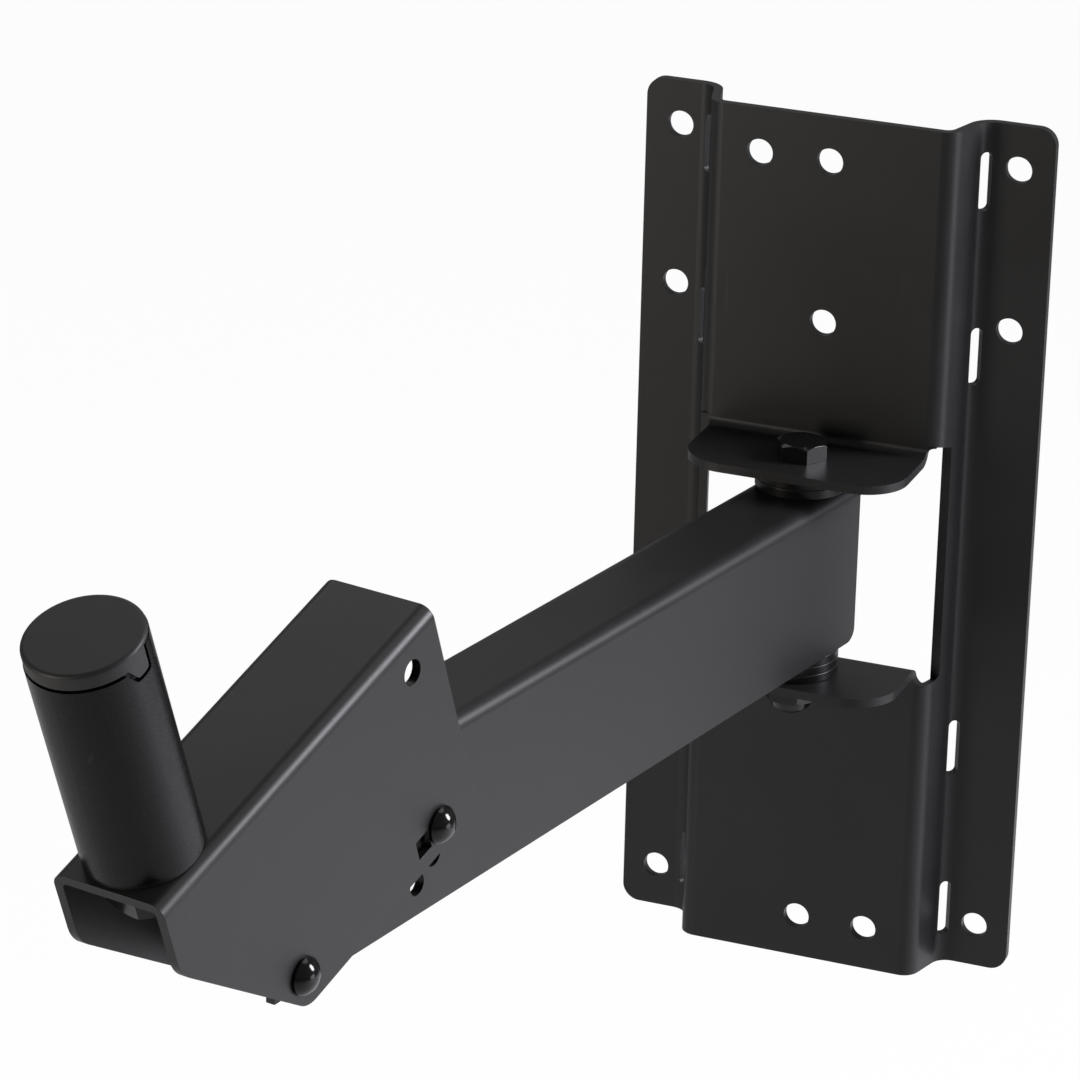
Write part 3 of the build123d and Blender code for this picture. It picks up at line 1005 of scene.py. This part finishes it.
@dataclass(frozen=True)
class Viewpoint:
    """The camera, placed as in the photograph, whose frame is 1080 pixels square."""

    place: tuple[float, float, float] = (0.48054, -1.50380, 0.62658)
    azimuth: float = 21.29
    elevation: float = 21.89
    roll: float = 1.32
    focal_pixels: float = 5045.41
    frame_pixels: float = 1080.0
    sensor: float = 36.0
    nearest: float = 0.05

    def set_up(self) -> None:
        """Add the camera and make it the scene's."""
        azimuth, elevation = math.radians(self.azimuth), math.radians(self.elevation)
        back = Vector((
            math.sin(azimuth) * math.cos(elevation),
            -math.cos(azimuth) * math.cos(elevation),
            math.sin(elevation),
        ))
        right = Vector((math.cos(azimuth), math.sin(azimuth), 0.0))
        up = back.cross(right)
        roll = math.radians(self.roll)
        side = right * math.cos(roll) + up * math.sin(roll)
        top = up * math.cos(roll) - right * math.sin(roll)
        camera = bpy.data.objects.new("camera", bpy.data.cameras.new("camera"))
        camera.data.sensor_width = self.sensor
        camera.data.lens = self.focal_pixels / self.frame_pixels * self.sensor
        camera.data.clip_start = self.nearest
        turn = Matrix((side, top, back)).transposed()
        camera.matrix_world = Matrix.Translation(self.place) @ turn.to_4x4()
        bpy.context.collection.objects.link(camera)
        bpy.context.scene.camera = camera
        bpy.context.scene.view_settings.view_transform = "Standard"


# Lamps look at the middle of the bracket: metres and watts
AIM = (-0.02, -0.17, 0.0)
COOL = (0.94, 0.93, 1.0)
WARM = (1.0, 0.94, 0.86)
LAMPS = (
    Softbox("key", (1.10, 0.27, 0.49), AIM, (0.4, 0.6), 28.5, COOL),
    Softbox("right_low", (1.2, -0.02, -0.2), AIM, (0.6, 0.36), 2.2, COOL),
    Softbox("overhead", (0.49, 0.24, 1.35), AIM, (1.0, 0.9), 4.8),
    Softbox("back_top", (-0.75, 0.65, 1.25), AIM, (1.0, 0.9), 3.4),
    Softbox("front_left", (-0.95, -1.5, 0.15), AIM, (0.6, 0.9), 13.2, WARM),
)


# The pole leans by 19.5 degrees, in the arm's plane, which is turned by 11.5 degrees
POLE_TURN = (math.radians(19.5), 0.0, math.radians(11.5))
# Lighter grey for scuffs and dust, and for the painted highlight on rounded edges; edge sets that
# highlight's strength
HIGHLIGHT_AND_WORN_GREY = (0.034, 0.034, 0.035)
FINISHES = {
    Slot.SHEET: Finish(
        "satin_powder_coat", (0.0092, 0.0092, 0.0095), (0.0134, 0.0134, 0.0140), HIGHLIGHT_AND_WORN_GREY,
        roughness=(0.34, 0.44), specular=0.24,
    ),
    Slot.POLE: Finish(
        "satin_pole_coat", (0.0022, 0.0022, 0.0024), (0.0042, 0.0042, 0.0045), HIGHLIGHT_AND_WORN_GREY,
        roughness=(0.25, 0.32), specular=0.16, scuff=1.0, dust=0.6, turn=POLE_TURN,
    ),
    Slot.CAP: Finish(
        "moulded_cap", (0.0150, 0.0150, 0.0152), (0.0205, 0.0205, 0.0208), HIGHLIGHT_AND_WORN_GREY,
        roughness=(0.42, 0.52), specular=0.24, grain=3600.0, peel_share=0.2, bump=0.08, scuff=0.3,
    ),
    Slot.HARDWARE: Finish(
        "gloss_black_bolt", (0.003, 0.003, 0.003), (0.005, 0.005, 0.005), HIGHLIGHT_AND_WORN_GREY,
        roughness=(0.10, 0.16), specular=0.26, peel_share=0.3, bump=0.04, edge=0.3, scuff=0.2,
    ),
    Slot.WASHER: Finish(
        "black_washer", (0.003, 0.003, 0.003), (0.006, 0.006, 0.006), HIGHLIGHT_AND_WORN_GREY,
        roughness=(0.26, 0.36), specular=0.18, edge=0.4,
    ),
    Slot.BARE: Finish(
        "turned_steel", (0.35, 0.35, 0.36), (0.5, 0.5, 0.5), (0.6, 0.6, 0.6),
        roughness=(0.28, 0.4), metallic=1.0,
    ),
    Slot.SHIM: Finish(
        "black_nylon", (0.004, 0.004, 0.004), (0.007, 0.007, 0.007), HIGHLIGHT_AND_WORN_GREY,
        roughness=(0.42, 0.52), specular=0.24, edge=0.2,
    ),
}


def main() -> None:
    """Build the bracket's looks, sub-assembly by sub-assembly."""
    logging.basicConfig(level=logging.INFO, format="%(name)s: %(message)s")
    Viewpoint().set_up()
    Studio(lamps=LAMPS).set_up()
    joints = {joint["name"]: joint for joint in frame["joints"]}
    across = Vector(joints["head_tilt"]["axis"])
    shop = Workshop(FINISHES)
    for assembly in (
        WallPlate(), Swivel(), SwingArm(), TiltHead(),
        CrossBolt("pivot", across), CrossBolt("lock", across), SpeakerPole(),
    ):
        assembly.build(shop)
        LOG.info("%s done", type(assembly).__name__)


if __name__ == "__main__":
    main()
